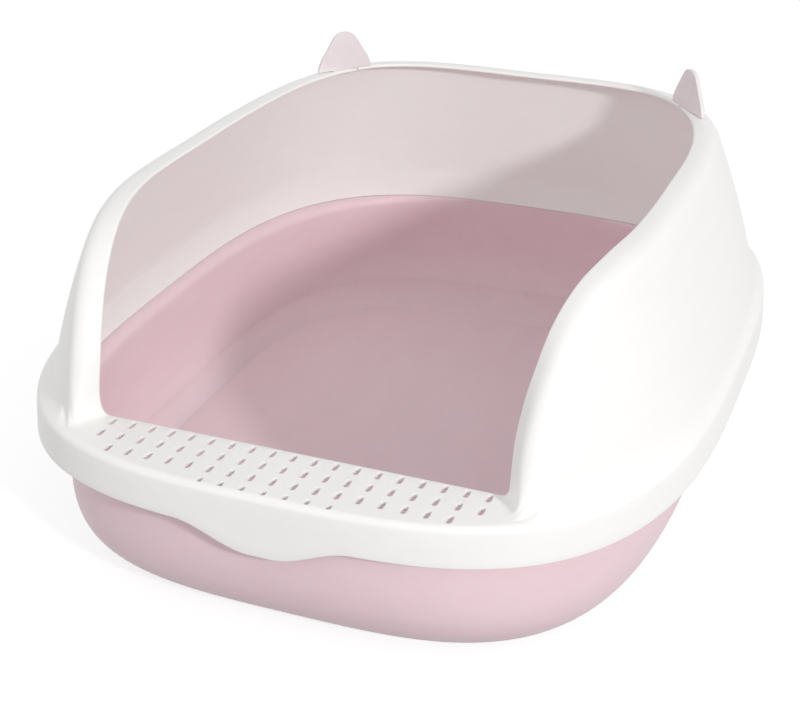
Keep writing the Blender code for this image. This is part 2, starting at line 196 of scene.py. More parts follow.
class Nodes:
    """A node tree, and the one method that adds a node to it."""

    def __init__(self, tree):
        self.tree = tree

    def add(self, kind, inputs=None, options=None, output=0):
        """Adds a node, fills or links its inputs and gives back one of its outputs, if it has any."""
        node = self.tree.nodes.new(kind)
        for name, value in (options or {}).items():
            setattr(node, name, value)
        for key, value in (inputs or {}).items():
            if isinstance(value, Socket):
                self.tree.links.new(value.socket, node.inputs[key])
            else:
                node.inputs[key].default_value = value
        return Socket(self, node.outputs[output]) if len(node.outputs) else node


# %% Geometry tree
class GeometryTree(Nodes):
    """A Geometry Nodes tree with named inputs, which ends in one material."""

    def __init__(self, name, **sizes):
        super().__init__(bpy.data.node_groups.new(name, "GeometryNodeTree"))
        sockets = self.tree.interface
        sockets.new_socket("Geometry", in_out="OUTPUT", socket_type="NodeSocketGeometry")
        sockets.new_socket("Geometry", in_out="INPUT", socket_type="NodeSocketGeometry")
        sockets.new_socket("Material", in_out="INPUT", socket_type="NodeSocketMaterial")
        for label, value in sizes.items():
            kind = "NodeSocketInt" if isinstance(value, int) else "NodeSocketFloat"
            sockets.new_socket(label.replace("_", " "), in_out="INPUT", socket_type=kind)
        self.sizes = sizes
        self.source = self.tree.nodes.new("NodeGroupInput")

    def given(self, label):
        """One of the tree's named inputs."""
        return Socket(self, self.source.outputs[label.replace("_", " ")])

    def end(self, geometry):
        """Realizes the instances, which an export would drop, and sets the material."""
        real = self.add("GeometryNodeRealizeInstances", {"Geometry": geometry})
        material = self.given("Material")
        coloured = self.add("GeometryNodeSetMaterial", {"Geometry": real, "Material": material})
        self.add("NodeGroupOutput", {"Geometry": coloured})

    def put_on(self, piece, material):
        """Adds the tree as a modifier, whose inputs are set by their sockets' identifiers."""
        modifier = piece.modifiers.new(self.tree.name, "NODES")
        modifier.node_group = self.tree
        values = {label.replace("_", " "): value for label, value in self.sizes.items()}
        values["Material"] = material
        for item in self.tree.interface.items_tree:
            if item.in_out == "INPUT" and item.name in values:
                modifier[item.identifier] = values[item.name]


# %% [markdown]
# ## From a rule to a plain mesh
#
# Whatever makes a piece, the scene keeps it as a plain mesh at the origin. The doubles that a
# closed ring leaves are merged first, because only then do its faces know which side is out. The
# shading is smooth but for edges that turn more than a mould's radius would.

# %% Plain meshes
WELD = 0.002 * MM
SHARP_ANGLE = math.radians(32)


def new_object(name, points, edges=(), faces=()):
    mesh = bpy.data.meshes.new(name)
    mesh.from_pydata([tuple(point) for point in points], list(edges), list(faces))
    piece = bpy.data.objects.new(name, mesh)
    bpy.context.scene.collection.objects.link(piece)
    return piece


def made_plain(name, source):
    """The evaluated shape as a plain mesh: welded, closed, facing outwards, smooth but for sharp edges."""
    evaluated = source.evaluated_get(bpy.context.evaluated_depsgraph_get())
    mesh = bpy.data.meshes.new_from_object(evaluated)
    bpy.data.objects.remove(source)
    mesh.name = name
    shape = bmesh.new()
    shape.from_mesh(mesh)
    bmesh.ops.remove_doubles(shape, verts=shape.verts, dist=WELD)
    bmesh.ops.dissolve_degenerate(shape, edges=shape.edges, dist=WELD)
    open_rims = [edge for edge in shape.edges if edge.is_boundary]
    bmesh.ops.holes_fill(shape, edges=open_rims)
    bmesh.ops.recalc_face_normals(shape, faces=shape.faces)
    open_edges = sum(not edge.is_manifold for edge in shape.edges)
    shape.to_mesh(mesh)
    shape.free()
    mesh.shade_smooth()
    mesh.set_sharp_from_angle(angle=SHARP_ANGLE)
    piece = bpy.data.objects.new(name, mesh)
    bpy.context.scene.collection.objects.link(piece)
    print(f"{name}: {len(mesh.vertices)} points, {len(mesh.polygons)} faces, {open_edges} open edges")
    return piece


# %% [markdown]
# ## Moulded plastic
#
# Tub and hood are injection-moulded polypropylene. Up close such a sheet isn't one colour: the
# mould leaves a fine satin grain, the sheet sinks a little over broad areas, the melt leaves faint
# cloudy streaks, the moulded edges are burnished by handling, and the inner corners and folds are
# darkened, partly with dust and partly with painted shade. An image texture could hold all that, but
# procedural noise in object coordinates has the right scale everywhere, needs no unwrapping and
# still bakes. The tub's thin pink sheet also lets some light into itself, which softens its shadows.

# %% Texture helpers
def mixed_colour(nodes, share, first, second):
    """A colour between two; a Math node would turn them grey."""
    return nodes.add("ShaderNodeMix", {0: share, 6: first, 7: second}, {"data_type": "RGBA"}, output=2)


def noise(nodes, place, size, detail=2.0, roughness=0.5):
    """Noise whose blotches are about that size, from 0 to 1."""
    return nodes.add(
        "ShaderNodeTexNoise",
        {"Vector": place, "Scale": 1 / size, "Detail": detail, "Roughness": roughness},
        {"noise_dimensions": "3D"},
    )


def stretched(nodes, place, scale, heading):
    """Object coordinates turned about the vertical and squeezed along one axis, for streaks."""
    turned = {"Vector": place, "Scale": scale, "Rotation": (0.0, 0.0, heading)}
    return nodes.add("ShaderNodeMapping", turned)


def between(nodes, value, low, high):
    """0 below low, 1 above high."""
    return nodes.add("ShaderNodeMapRange", {"Value": value, "From Min": low, "From Max": high})


def stored(nodes, name):
    """A number kept on the points of the mesh."""
    return nodes.add("ShaderNodeAttribute", options={"attribute_name": name}, output=2)


# %% Marks
HAIRLINES = (  # size, levels, squeeze and heading
    (0.8 * MM, (0.66, 0.72), (1.0, 0.03, 1.0), 0.7),
    (0.9 * MM, (0.67, 0.73), (0.03, 1.0, 1.0), 0.2),
)
USED_SIZE, USED_LEVELS = 35 * MM, (0.45, 0.65)
RUBBED_SIZE, RUBBED_LEVELS = 7 * MM, (0.35, 0.6)
# Size and levels of the darkening in the hollows, partly dust and partly painted shade.
DUST_AND_SHADE_SIZE, DUST_AND_SHADE_LEVELS = 4 * MM, (0.1, 0.7)


def scratch_lines(nodes, place, scuffs):
    """Two directions of hairlines, only where the plastic is used."""
    along, across = (
        between(nodes, noise(nodes, stretched(nodes, place, squeeze, heading), size, detail=1.0), *levels)
        for size, levels, squeeze, heading in HAIRLINES
    )
    return (along + across) * between(nodes, noise(nodes, place, USED_SIZE), *USED_LEVELS) * scuffs


def rubbed_edges(nodes, place):
    """The moulded edges, rubbed in some places more than in others."""
    patches = noise(nodes, place, RUBBED_SIZE, detail=3.0)
    return stored(nodes, "edge") * between(nodes, patches, *RUBBED_LEVELS)


def dust_and_shade_in_hollows(nodes, place):
    """The inner corners and folds, dusty and darkened with painted shade, more in some places than in others.
    """
    patches = noise(nodes, place, DUST_AND_SHADE_SIZE, detail=4.0)
    return stored(nodes, "hollow") * between(nodes, patches, *DUST_AND_SHADE_LEVELS)


# %% Plastic
SATIN_SIZE, SATIN_DEPTH, SATIN_GLOSS = 0.55 * MM, 0.012 * MM, 0.06
PIT_SIZE, PIT_DEPTH, PIT_LEVELS = 1.6 * MM, 0.010 * MM, (0.62, 0.74)
SINK_SIZE, SINK_DEPTH = 60 * MM, 0.25 * MM
CLOUD_SIZE, CLOUD_LEVELS, CLOUD_GLOSS = 22 * MM, (0.35, 0.65), 0.10
CLOUD_SQUEEZE, CLOUD_HEADING = (1.0, 0.35, 2.2), 0.5
SCRATCH_DEPTH, SCRATCH_GLOSS, SCRATCH_TINT = 0.012 * MM, 0.14, 0.22
RUBBED_GLOSS, RUBBED_TINT = 0.12, 0.35
# The hollows turn grey-brown, partly as dust and partly as painted shade.
HOLLOW_GLOSS, DUST_AND_SHADE_COLOUR = 0.2, (0.42, 0.38, 0.35, 1.0)
PALER_SHARE, DEEPER_POWER, DEEPER_LEVEL = 0.25, 0.05, 0.99
MIDDLE = 0.5
PLASTIC_IOR = 1.49


def moulded_plastic(name, colour, roughness, grain, scuffs, dirt_and_shade=0.12, more=None):
    """A satin plastic: grain is how deep its texture is, scuffs how far use has marked it, dirt how dark
    its inner corners and folds get, partly dusty and partly painted shade, and more holds what else is the
    same all over the shader."""
    material = bpy.data.materials.new(name)
    material.use_nodes = True
    material.node_tree.nodes.clear()
    nodes = Nodes(material.node_tree)
    place = nodes.add("ShaderNodeTexCoord", output=3)

    satin = noise(nodes, place, SATIN_SIZE, detail=3.0)
    pits = between(nodes, noise(nodes, place, PIT_SIZE, detail=1.0), *PIT_LEVELS)
    sink = noise(nodes, place, SINK_SIZE, detail=1.0)
    streaks = stretched(nodes, place, CLOUD_SQUEEZE, CLOUD_HEADING)
    cloud = noise(nodes, streaks, CLOUD_SIZE, detail=4.0, roughness=0.6)
    scratches = scratch_lines(nodes, place, scuffs)
    burnish = rubbed_edges(nodes, place)
    dust_and_shade = dust_and_shade_in_hollows(nodes, place)

    plain = (*colour, 1.0)
    paler = (*(level + (1 - level) * PALER_SHARE for level in colour), 1.0)
    deeper = (*(level * level**DEEPER_POWER * DEEPER_LEVEL for level in colour), 1.0)
    base = mixed_colour(nodes, between(nodes, cloud, *CLOUD_LEVELS), deeper, plain)
    base = mixed_colour(nodes, burnish * RUBBED_TINT, base, paler)
    base = mixed_colour(nodes, scratches * SCRATCH_TINT, base, paler)
    # Painted shade and dust: the hollows, and most of all the fold round the tub's floor, are darkened
    # towards a grey-brown.
    base = mixed_colour(nodes, dust_and_shade * dirt_and_shade, base, DUST_AND_SHADE_COLOUR)

    gloss = roughness + (cloud - MIDDLE) * CLOUD_GLOSS + (satin - MIDDLE) * SATIN_GLOSS
    gloss = gloss + scratches * SCRATCH_GLOSS + dust_and_shade * HOLLOW_GLOSS - burnish * RUBBED_GLOSS
    height = satin * (SATIN_DEPTH * grain) - pits * PIT_DEPTH + sink * SINK_DEPTH - scratches * SCRATCH_DEPTH
    bump = nodes.add("ShaderNodeBump", {"Strength": 1.0, "Distance": 1.0, "Height": height})
    surface = {"Base Color": base, "Roughness": gloss, "Normal": bump, "IOR": PLASTIC_IOR}
    shader = nodes.add("ShaderNodeBsdfPrincipled", surface | (more or {}))
    nodes.add("ShaderNodeOutputMaterial", {"Surface": shader})
    print(f"{name}: {len(material.node_tree.nodes)} nodes")
    return material


# %% Colours
def linear(red, green, blue):
    """A screen colour of 0 to 255 in the light units that shaders use."""
    levels = [value / 255 for value in (red, green, blue)]
    return tuple(v / 12.92 if v < 0.04045 else ((v + 0.055) / 1.055) ** 2.4 for v in levels)


PINK = linear(237, 213, 219)
WHITE = linear(248, 247, 245)
EAR_WHITE = linear(236, 227, 229)
LIGHT_DEPTH = (5.0 * MM, 2.0 * MM, 2.5 * MM)
MILKY = {"Subsurface Weight": 0.25, "Subsurface Radius": LIGHT_DEPTH, "Subsurface Scale": 1.0}
DULL = {"Specular IOR Level": 0.25}
# The pink keeps more darkening in its hollows, so the fold round its floor shows as a dark line. This is
# painted shade, with some dust.
pink_plastic = moulded_plastic(
    "pink_plastic", PINK, 0.42, grain=1.0, scuffs=0.6, dirt_and_shade=0.26, more=MILKY | DULL
)
white_plastic = moulded_plastic("white_plastic", WHITE, 0.42, grain=0.8, scuffs=0.4)
ear_plastic = moulded_plastic("ear_plastic", EAR_WHITE, 0.45, grain=0.9, scuffs=0.2)

# %% [markdown]
# ### Where edges are rubbed
#
# The plastic above asks each piece where its surface bulges and where it is hollow. The Pointiness
# output would say so, but it can't be exported. Two numbers stored on the points of the mesh say
# the same: how fast the surface turns away from itself there, and how fast it turns in.

# %% Edge and hollow attributes
EDGE_CURVATURE = 1 / (2.5 * MM)
HOLLOW_CURVATURE = 1 / (6 * MM)
SMOOTHING_ROUNDS = 2


def mark_edges(piece):
    """Stores how far each point lies on a rubbed edge or in a hollow, from 0 to 1."""
    mesh = piece.data
    count = len(mesh.vertices)
    place = np.empty(count * 3)
    mesh.vertices.foreach_get("co", place)
    normal = np.empty(count * 3)
    mesh.vertices.foreach_get("normal", normal)
    place, normal = place.reshape(-1, 3), normal.reshape(-1, 3)
    ends = np.empty(len(mesh.edges) * 2, np.int32)
    mesh.edges.foreach_get("vertices", ends)
    first, second = ends.reshape(-1, 2).T
    apart = place[second] - place[first]
    bend = np.einsum("ij,ij->i", normal[second] - normal[first], apart)
    bend /= np.maximum(np.einsum("ij,ij->i", apart, apart), WELD * WELD)
    neighbours = np.bincount(ends, minlength=count)

    def around(values):
        return np.bincount(first, values, count) + np.bincount(second, values, count)

    curvature = around(bend) / np.maximum(neighbours, 1)
    for _ in range(SMOOTHING_ROUNDS):
        spread = np.bincount(first, curvature[second], count) + np.bincount(second, curvature[first], count)
        curvature = (curvature + spread / np.maximum(neighbours, 1)) / 2
    for name, level in (("edge", curvature / EDGE_CURVATURE), ("hollow", -curvature / HOLLOW_CURVATURE)):
        attribute = mesh.attributes.new(name, "FLOAT", "POINT")
        attribute.data.foreach_set("value", np.clip(level, 0.0, 1.0).astype(np.float32))
    print(f"{piece.name}: {np.mean(curvature > EDGE_CURVATURE / 2):.1%} of the points lie on a rubbed edge")


# %% [markdown]
# ## Tub
#
# The tub is one moulding: a flat floor, a slanted strip up to a fold, walls that grow steeper
# towards the rim, a narrow flange that the hood stands on and an upstanding lip round it. Every
# level of it is a superellipse, so it follows a rule, and Geometry Nodes can make the whole shell:
# Python writes one profile from the underside over the rim down to the floor, and the tree turns
# each point of that profile into a ring. Turning a profile on a lathe would only give round rings.

# %% Points of the tub's profile
RIM_HEIGHT = 75.0 * MM
FOLD_HEIGHT = 10.7 * MM
FLOOR_BEVEL = (16.3 * MM, 37.8 * MM)
WALL_ROWS = 26
WALL_CROWDING = 1.6
FEW_POINTS, SOME_POINTS, MANY_POINTS = 4, 6, 10


def row(z, side=0.0, end=None, taken_at=None, flange=0.0, reach=1.0):
    """One point of the profile: its height, its insets from the wall's rule, the height the rule is taken
    at, whether it follows the flange instead, and how far out it reaches."""
    end = side if end is None else end
    taken_at = z if taken_at is None else taken_at
    return np.array((z, side, end, taken_at, flange, reach))


def bend(first, corner, last, count=SOME_POINTS):
    """Rounds a corner of the profile with a quadratic curve."""
    shares = np.linspace(0, 1, count)
    return [first * (1 - t) ** 2 + corner * 2 * t * (1 - t) + last * t * t for t in shares]


def flange_row(z, side, end=None):
    """A point of the flange, whose edge is the tub's own outline outside the wall."""
    return row(z, side, end, RIM_HEIGHT, flange=1.0)


def wall_heights(low, high):
    """Heights up the wall, closer together near the foot, where it curves most."""
    return low + (high - low) * np.linspace(0, 1, WALL_ROWS) ** WALL_CROWDING


def bevel_row(share, z=None):
    """A point of the slanted strip between the fold and the floor."""
    z = FOLD_HEIGHT - (FOLD_HEIGHT - SHEET) * share if z is None else z
    return row(z, SHEET + FLOOR_BEVEL[0] * share, SHEET + FLOOR_BEVEL[1] * share, FOLD_HEIGHT)


print("inner depth of the tub in mm:", round((RIM_HEIGHT - SHEET) / MM, 1))

# %% Underside of the tub
FOOT_INSET = 1.5 * MM
FLOOR_FOOT = 2.5 * SHEET
GROOVE_RISE = FOLD_HEIGHT - 2 * SHEET
GROOVE_SHARE = 1 / 3


def underside_rows():
    """From the middle under the floor out to the foot ring, past the groove under the slanted strip."""
    side, end = FLOOR_BEVEL
    floor_foot = row(0.0, FLOOR_FOOT + side, FLOOR_FOOT + end, FOLD_HEIGHT)
    groove = row(GROOVE_RISE, SHEET + side * GROOVE_SHARE, SHEET + end * GROOVE_SHARE, FOLD_HEIGHT)
    groove_out = row(GROOVE_RISE, SHEET)
    ring_in = row(0.0, SHEET + FOOT_INSET, taken_at=0.0)
    centre = floor_foot.copy()
    centre[-1] = 0.0
    half_way = floor_foot.copy()
    half_way[-1] = 0.5
    return [centre, half_way, floor_foot, groove, groove_out, ring_in]


tub_underside = underside_rows()
print("points under the tub:", len(tub_underside))

# %% Outside of the tub
FOOT_ROUNDING = 4.0 * MM
FLANGE_INSET = (6.0 * MM, 2.5 * MM)
FLANGE_ROUNDING = 4.5 * MM
RIM_LIP_HEIGHT = 5.0 * MM
LIP_ROUNDING = 0.8 * MM


def outer_rows():
    """From the foot up the outside of the wall and out under the flange."""
    foot = bend(row(0.0, FOOT_INSET, taken_at=0.0), row(0.0, 0.0, taken_at=0.0), row(FOOT_ROUNDING))
    under = RIM_HEIGHT - SHEET
    wall_top = under - FLANGE_ROUNDING
    wall = [row(z) for z in wall_heights(FOOT_ROUNDING, wall_top)[1:-1]]
    return foot + wall + bend(row(wall_top), row(under), flange_row(under, *FLANGE_INSET))


def rim_rows():
    """Round the edge of the flange and over the upstanding lip, onto the flange."""
    low, top = RIM_HEIGHT - SHEET, RIM_HEIGHT + RIM_LIP_HEIGHT
    soft = LIP_ROUNDING
    corners = (
        ((low, soft), (low, 0.0), (low + soft, 0.0)),
        ((top - soft, 0.0), (top, 0.0), (top, soft)),
        ((top, SHEET - soft), (top, SHEET), (top - soft, SHEET)),
        ((RIM_HEIGHT + soft, SHEET), (RIM_HEIGHT, SHEET), (RIM_HEIGHT, SHEET + soft)),
    )
    rows = []
    for corner in corners:
        rows += bend(*(flange_row(z, side) for z, side in corner), FEW_POINTS)
    return rows


tub_outside = outer_rows() + rim_rows()
print("points outside the tub and over its rim:", len(tub_outside))

# %% Inside of the tub
MOUTH_INSET = 5.8 * MM
MOUTH_ROUNDING = 7.0 * MM
FOLD_SOFTNESS = 1.6 * MM
FOLD_SHARE = 0.05
BEVEL_SHARES = (0.3, 0.6)
FLOOR_REACHES = (0.97, 0.8, 0.6, 0.4, 0.2, 0.0)


def inner_rows():
    """From the flange down the inside of the wall, over the slanted strip to the middle of the floor."""
    wall_top, fold_top = RIM_HEIGHT - MOUTH_ROUNDING, FOLD_HEIGHT + FOLD_SOFTNESS
    mouth = (flange_row(RIM_HEIGHT, MOUTH_INSET), row(RIM_HEIGHT, SHEET), row(wall_top, SHEET))
    rows = bend(*mouth, MANY_POINTS)
    rows += [row(z, SHEET) for z in wall_heights(fold_top, wall_top)[-2:0:-1]]
    rows += bend(row(fold_top, SHEET), bevel_row(0.0), bevel_row(FOLD_SHARE))
    rows += [bevel_row(share) for share in BEVEL_SHARES]
    rows += bend(bevel_row(1 - FOLD_SHARE), bevel_row(1.0), bevel_row(1 + FOLD_SHARE, SHEET))
    for reach in FLOOR_REACHES:
        rows.append(bevel_row(1 + FOLD_SHARE, SHEET) * (1, 1, 1, 1, 1, reach))
    return rows


tub_profile = np.array(tub_underside + tub_outside + inner_rows())
print("points in the tub's whole profile:", len(tub_profile))

# %% Tub tree
STEPS_AROUND = 288
PROFILE_NAMES = ("side_inset", "end_inset", "taken_at", "flange", "reach")

tub_tree = GeometryTree(
    "tub shell",
    Steps_around=STEPS_AROUND,
    Rim_height=RIM_HEIGHT,
    Wall_power=4.0,
    Foot_half_width=TUB_FOOT.half_width,
    Foot_half_length=TUB_FOOT.half_length,
    Foot_power=TUB_FOOT.power,
    Top_half_width=TUB_TOP.half_width,
    Top_half_length=TUB_TOP.half_length,
    Top_power=TUB_TOP.power,
    Flange_half_width=RIM_EDGE.half_width,
    Flange_half_length=RIM_EDGE.half_length,
    Flange_power=RIM_EDGE.power,
)


def sampled(tree, name, index):
    """A number stored on the profile's point of that index."""
    number = tree.add("GeometryNodeInputNamedAttribute", {"Name": name}, {"data_type": "FLOAT"})
    return tree.add(
        "GeometryNodeSampleIndex",
        {"Geometry": tree.given("Geometry"), "Value": number, "Index": index},
        {"data_type": "FLOAT", "domain": "POINT"},
    )


def numbered_grid(tree, columns, rows):
    """A grid whose points are only numbered, column by column; their places come later."""
    size = {"Size X": 1.0, "Size Y": 1.0, "Vertices X": columns, "Vertices Y": rows}
    return tree.add("GeometryNodeMeshGrid", size), tree.add("GeometryNodeInputIndex")


def rule_of_tub(tree):
    """One ring of the tub for each point of the profile."""
    profile = tree.given("Geometry")
    size = tree.add("GeometryNodeAttributeDomainSize", {"Geometry": profile}, {"component": "MESH"})
    grid, index = numbered_grid(tree, tree.given("Steps around") + 1, size)
    ring = index % size
    column = (index - ring) / size
    angle = column * (2 * math.pi) / tree.given("Steps around")
    side, end, taken_at, flange, reach = (sampled(tree, name, ring) for name in PROFILE_NAMES)
    height = sampled(tree, "height", ring)

    share = taken_at / tree.given("Rim height")
    rise = 1 - (1 - share) ** tree.given("Wall power")

    def of(measure, mix):
        """The half width, half length or power of the outline at this point of the profile."""
        foot, top, edge = (tree.given(f"{level} {measure}") for level in ("Foot", "Top", "Flange"))
        wall = foot + (top - foot) * mix
        return wall + (edge - wall) * flange

    power = of("power", share)
    cosine = angle.cosine()
    sine = angle.sine()
    across = (abs(cosine) / (of("half width", rise) - side)) ** power
    along = (abs(sine) / (of("half length", rise) - end)) ** power
    radius = reach / (across + along) ** (1 / power)
    spot = tree.add("ShaderNodeCombineXYZ", {0: radius * cosine, 1: radius * sine, 2: height})
    placed = tree.add("GeometryNodeSetPosition", {"Geometry": grid, "Position": spot})
    tree.end(tree.add("GeometryNodeMergeByDistance", {"Geometry": placed, "Distance": WELD}))


rule_of_tub(tub_tree)
print("nodes in the tub's tree:", len(tub_tree.tree.nodes))

# %% Tub
def make_tub():
    """Stores the profile's numbers on a row of points, and lets the tree make the tub from it."""
    count = len(tub_profile)
    profile = new_object("tub_profile", np.zeros((count, 3)), [(i, i + 1) for i in range(count - 1)])
    for name, values in zip(("height", *PROFILE_NAMES), tub_profile.T):
        attribute = profile.data.attributes.new(name, "FLOAT", "POINT")
        attribute.data.foreach_set("value", values.astype(np.float32))
    tub_tree.put_on(profile, pink_plastic)
    tub = made_plain("tub", profile)
    mark_edges(tub)
    return tub


tub = make_tub()

# %% [markdown]
# ## Hood
#
# The hood is a second moulding: a skirt that hangs over the tub's rim, a step with drain slots
# across the front, and a wall that rises out of a concave shoulder and turns in at its top as a
# band. Its edge climbs in a steep column beside the step, so the outline of the wall changes all
# the way round. A solid with booleans would need dozens of cuts. A loft is simpler: one section
# through the sheet for each place along the edge, all with the same number of points, joined in
# order.

# %% Hood sizes
STEP_Z = RIM_HEIGHT + 20.5 * MM
SKIRT_Z = RIM_HEIGHT - 2.3 * MM
SKIRT_TOP = SKIRT.inset(1.3 * MM)
SHOULDER_RADIUS = 4.0 * MM
WALL_HEIGHT = 100.0 * MM
WALL_BASE = SKIRT_TOP.inset(4.5 * MM, power=2.92)
WALL_TOP = WALL_BASE.inset(38.0 * MM, 25.0 * MM, power=3.3)
WALL_BULGE = 2.5 * MM


def wall_outline(z):
    """The hood's wall at a height: it leans in, and bulges a little between foot and top."""
    share = (z - STEP_Z) / WALL_HEIGHT
    return WALL_BASE.mixed(WALL_TOP, share).inset(-WALL_BULGE * 4 * share * (1 - share))


def wall_point(turn, z):
    """A point of the wall's outer face."""
    return wall_outline(z).point(turn, z)


print("step and wall top in mm:", round(STEP_Z / MM, 1), round((STEP_Z + WALL_HEIGHT) / MM, 1))

# %% [markdown]
# ### Edge of the hood
#
# Seen from the side the edge runs level along the step, bends up into a steep column, reaches its
# highest point a quarter of the way back and sinks a little towards the ears. A few points give
# that line, as shares of the tray's half length and of the wall's height. Straight pieces between
# them would leave corners, and one spline over all of them can swing past a point, so each stretch
# gets its own Bezier curve with short handles that follow its neighbours. The stations crowd where
# the column starts, because the section changes most there.

# %% Smooth line
def cubic(first, near, far, last, t):
    """A point of the Bezier curve between two ends with two handles."""
    return first * (1 - t) ** 3 + near * 3 * t * (1 - t) ** 2 + far * 3 * t * t * (1 - t) + last * t**3


def smooth_line(points, samples):
    """A smooth curve through plane points, whose handles follow the neighbouring points."""
    points = np.array(points)
    slopes = np.gradient(points, axis=0)
    slopes[1:-1] = points[2:] - points[:-2]
    slopes /= np.linalg.norm(slopes, axis=1, keepdims=True)
    line = [points[0]]
    for i in range(len(points) - 1):
        reach = np.linalg.norm(points[i + 1] - points[i]) / 3
        near, far = points[i] + slopes[i] * reach, points[i + 1] - slopes[i + 1] * reach
        line += [cubic(points[i], near, far, points[i + 1], t) for t in np.arange(1, samples + 1) / samples]
    return np.array(line)


# %% Hood edge
EDGE_SHARES = (  # along the tray from front to back, and up the wall
    (-0.917, 0.00), (-0.906, 0.006), (-0.8965, 0.032), (-0.8905, 0.075), (-0.8865, 0.15),
    (-0.873, 0.35), (-0.837, 0.58), (-0.759, 0.815), (-0.634, 0.955), (-0.455, 1.00),
    (-0.226, 0.985), (0.0, 0.97), (0.27, 0.957), (0.543, 0.955), (0.724, 0.955), (0.84, 0.955),
    (1.0, 0.93),
)
STEP_STATIONS = 46
WALL_STATIONS = 200
EVEN_SHARE = 0.12
STATION_CROWDING = 1.6
CURVE_SAMPLES = 30


def turn_at(share):
    """The turn at which the outline reaches that share of its half length."""
    return math.copysign(math.asin(abs(share) ** (WALL_BASE.power / 2)), share)


def edge_point(turn, height):
    """Where the wall's face ends above, at a height over the step."""
    return wall_point(turn, STEP_Z + height)


def spaced_out(pairs, count):
    """Stations along the edge, closer together at the column's foot."""
    spots = np.array([edge_point(*pair) for pair in pairs])
    reached = np.concatenate([[0.0], np.cumsum(np.linalg.norm(np.diff(spots, axis=0), axis=1))])
    share = np.linspace(0.0, 1.0, count)
    wanted = reached[-1] * (EVEN_SHARE * share + (1 - EVEN_SHARE) * share**STATION_CROWDING)
    return [(np.interp(d, reached, pairs[:, 0]), np.interp(d, reached, pairs[:, 1])) for d in wanted]


def edge_path():
    """Turn and height of each station, from the middle of the step to the middle of the back."""
    corner_x = WALL_BASE.point(turn_at(EDGE_SHARES[0][0]), STEP_Z)[0]
    step = []
    for x in np.linspace(0.0, corner_x, STEP_STATIONS, endpoint=False):
        step.append((-math.acos((x / WALL_BASE.half_width) ** (WALL_BASE.power / 2)), 0.0))
    reach = WALL_BASE.half_length
    picks = [(turn_at(along) * reach, up * WALL_HEIGHT) for along, up in EDGE_SHARES]
    wall = smooth_line(picks, CURVE_SAMPLES)
    wall[:, 0] /= reach
    wall[-1, 0] = QUARTER_TURN
    return step + spaced_out(wall, WALL_STATIONS)


path = edge_path()
print("hood stations from front to back:", len(path))

# %% [markdown]
# ### Skirt and step
#
# The skirt hides the seam and gives the fingers something to lift, most of all at the tab in the
# middle of the front. The step behind it is a flat shelf with a straight inner edge. Both could be
# pieces of their own, but they are one sheet in the real moulding, so one section runs from the
# skirt's lower edge over the shoulder and the step and back along the underside. Every rounding is
# part of that section, which costs a few points and needs no bevel.

# %% Skirt and shoulder
SKIRT_ROUNDING = 0.8 * MM
TAB_DEPTH = 12.2 * MM
TAB_HALF_WIDTH = 50.0 * MM
TAB_FLAT_HALF_WIDTH = 6.0 * MM
SKIRT_SHARES = (0.2, 0.4, 0.6, 0.8)
LOW_EDGE_ANGLES = np.radians((-90, -60, -30, 0))
SHOULDER_ANGLES = np.radians((0, 12, 24, 36, 48))
SKIRT_INNER_ROWS = 5


def smoothstep(value):
    """0 below 0, 1 above 1, and a soft start and end between them."""
    value = min(max(value, 0.0), 1.0)
    return value * value * (3 - 2 * value)


def skirt_low_z(spot):
    """Height of the skirt's lower edge, which dips in the middle of the front as a finger tab."""
    if spot[1] > 0:
        return SKIRT_Z
    share = (TAB_HALF_WIDTH - abs(spot[0])) / (TAB_HALF_WIDTH - TAB_FLAT_HALF_WIDTH)
    return SKIRT_Z - TAB_DEPTH * smoothstep(share)


def skirt_row(turn, low, z, inset):
    """A point of the skirt, which leans in a little towards its top."""
    lean = (z - low) / (STEP_Z - low)
    return SKIRT.mixed(SKIRT_TOP, lean).inset(inset).point(turn, z)


def shoulder_row(turn, angle):
    """A point of the rounding from the skirt to the step."""
    radius = SHOULDER_RADIUS
    z = STEP_Z - radius * (1 - math.sin(angle))
    return SKIRT_TOP.inset(radius * (1 - math.cos(angle))).point(turn, z)


def low_edge_row(turn, low, angle, inner=False):
    """A point of the rounding under the skirt, on its outer or inner side."""
    soft = SKIRT_ROUNDING
    inset = soft * (1 - math.cos(angle))
    return skirt_row(turn, low, low + soft * (1 + math.sin(angle)), SHEET - inset if inner else inset)


def skirt_outside(turn, low):
    """From the skirt's lower edge up to the shoulder."""
    foot, top = low + SKIRT_ROUNDING, STEP_Z - SHOULDER_RADIUS
    rows = [low_edge_row(turn, low, angle) for angle in LOW_EDGE_ANGLES]
    rows += [skirt_row(turn, low, foot + (top - foot) * share, 0.0) for share in SKIRT_SHARES]
    return rows + [shoulder_row(turn, angle) for angle in SHOULDER_ANGLES]


def skirt_inside(turn, low):
    """From under the step down the inner side of the skirt."""
    heights = np.linspace(STEP_Z - SHEET, low + SKIRT_ROUNDING, SKIRT_INNER_ROWS)
    rows = [skirt_row(turn, low, z, SHEET) for z in heights]
    return rows + [low_edge_row(turn, low, angle, inner=True) for angle in LOW_EDGE_ANGLES[-2::-1]]


print("points on the skirt:", len(skirt_outside(0.0, SKIRT_Z)) + len(skirt_inside(0.0, SKIRT_Z)))

# %% Step
STEP_DEPTH = 49.0 * MM
STEP_CORNER_SHARE = 0.88
STEP_ANGLES = np.radians((60, 75, 90))
FLARE_ROWS, HOOD_WALL_ROWS, ARC_ROWS, BAND_ROWS, LIP_ROWS = 9, 14, 8, 5, 7
UP = np.array((0.0, 0.0, 1.0))
BACK = np.array((0.0, 1.0, 0.0))


